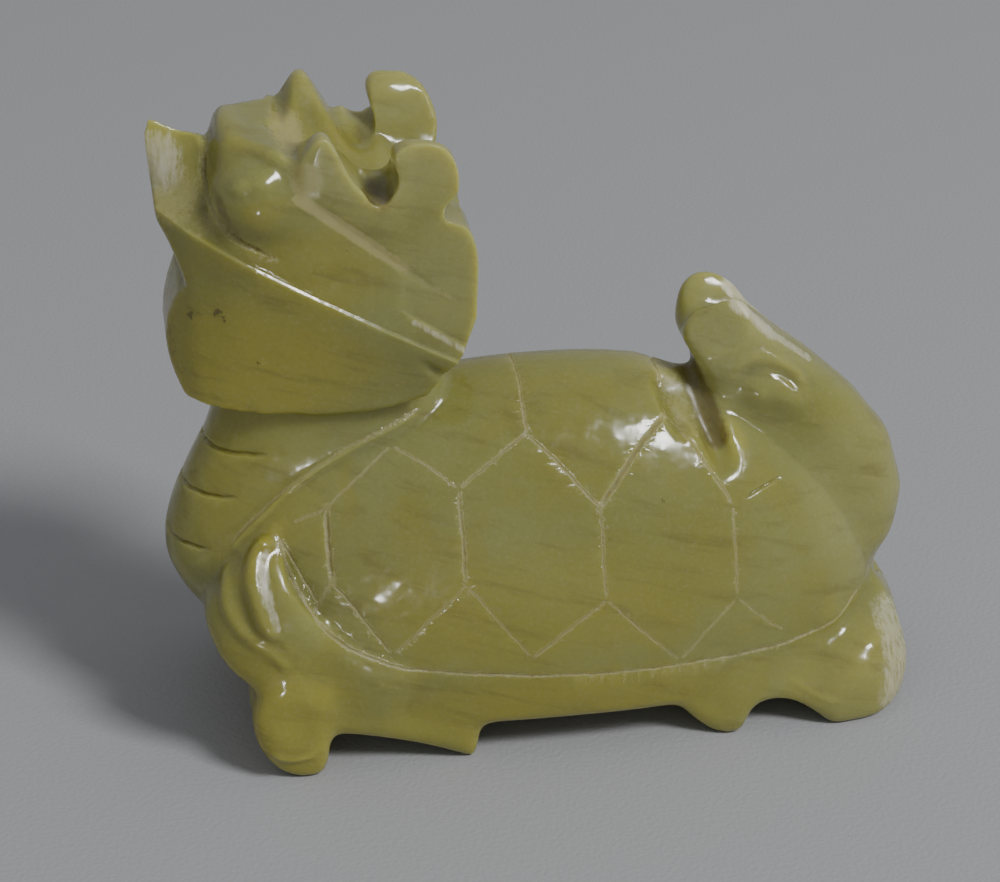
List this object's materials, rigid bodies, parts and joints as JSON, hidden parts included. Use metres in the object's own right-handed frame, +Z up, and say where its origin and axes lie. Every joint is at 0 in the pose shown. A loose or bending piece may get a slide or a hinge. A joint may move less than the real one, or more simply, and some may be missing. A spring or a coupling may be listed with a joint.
{
  "type": "dragon turtle figurine",
  "caption": "Small carved dragon turtle figure with a horned head, a domed shell cut into plates and a raised curling tail, in polished yellow-green stone.",
  "frame": {"origin": "on the floor under the middle of the figure's bounding box", "axes": "+X along the figure towards its tail, with the head towards -X; +Y across it towards its right side; +Z up"},
  "size_m": [0.0562, 0.0226, 0.048],
  "materials": {
    "stone": null
  },
  "bodies": {
    "root": {"dragon_turtle": "stone"}
  },
  "joints": []
}
